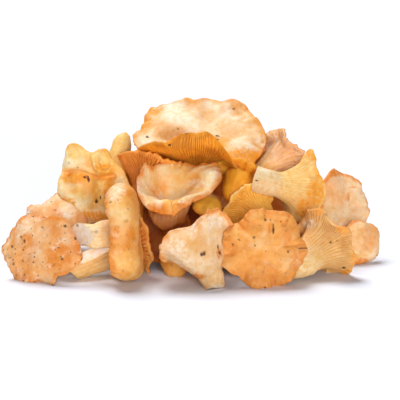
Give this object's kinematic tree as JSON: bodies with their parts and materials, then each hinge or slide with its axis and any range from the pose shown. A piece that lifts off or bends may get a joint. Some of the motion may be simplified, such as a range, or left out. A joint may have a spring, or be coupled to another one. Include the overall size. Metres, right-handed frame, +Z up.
{
  "type": "heap of chanterelle mushrooms",
  "caption": "Heap of fresh golden chanterelles of several sizes lying on one another, caps wavy and funnel-shaped, with blunt forking ridges and cut stems.",
  "frame": {"origin": "on the table, under the middle of the heap", "axes": "+Z up; +X along the heap's long side, to the right as seen from its front; -Y to the front, where the round cap and the pale funnel lie"},
  "size_m": [0.2238, 0.1474, 0.0959],
  "materials": {
    "golden_flesh": "matt, dry golden-orange mushroom skin with paler streaks and small brown specks",
    "pale_flesh": "matt, smooth cream to peach mushroom skin, orange towards the rim",
    "deep_flesh": "matt, deep orange mushroom flesh with ridges"
  },
  "bodies": {
    "root": {"broad_cap_on_top": "pale_flesh", "round_cap_in_front": "golden_flesh", "speckled_cap_on_the_left": "golden_flesh", "pale_funnel_in_front": "pale_flesh", "sideways_trumpet": "pale_flesh", "leaning_trumpet": "golden_flesh", "folded_cap_upper_left": "golden_flesh", "middle_funnel": "golden_flesh", "ridged_fan_on_the_right": "golden_flesh", "ridged_fan_low_right": "pale_flesh", "ridged_cap_in_the_middle": "deep_flesh", "high_cap_on_the_right": "pale_flesh", "small_cap_on_the_right": "golden_flesh", "small_cap_behind_the_top": "pale_flesh", "frosted_cap_behind_left": "pale_flesh", "dark_ridged_cap_under_the_top": "deep_flesh", "stout_stem_in_the_middle": "golden_flesh", "yellow_button_in_the_middle": "golden_flesh", "button_on_the_table": "golden_flesh", "cap_inside_the_heap": "deep_flesh", "cap_deep_in_the_middle": "deep_flesh", "cap_low_in_the_middle": "deep_flesh", "broad_cap_at_the_back": "golden_flesh", "leaning_cap_at_the_back_left": "golden_flesh", "ridged_fan_at_the_back_right": "golden_flesh", "funnel_high_at_the_back": "golden_flesh", "trumpet_high_at_the_back_right": "golden_flesh", "cap_on_the_left_at_the_back": "golden_flesh", "trumpet_high_at_the_back_left": "golden_flesh", "small_cap_at_the_back_right": "golden_flesh"}
  },
  "joints": []
}
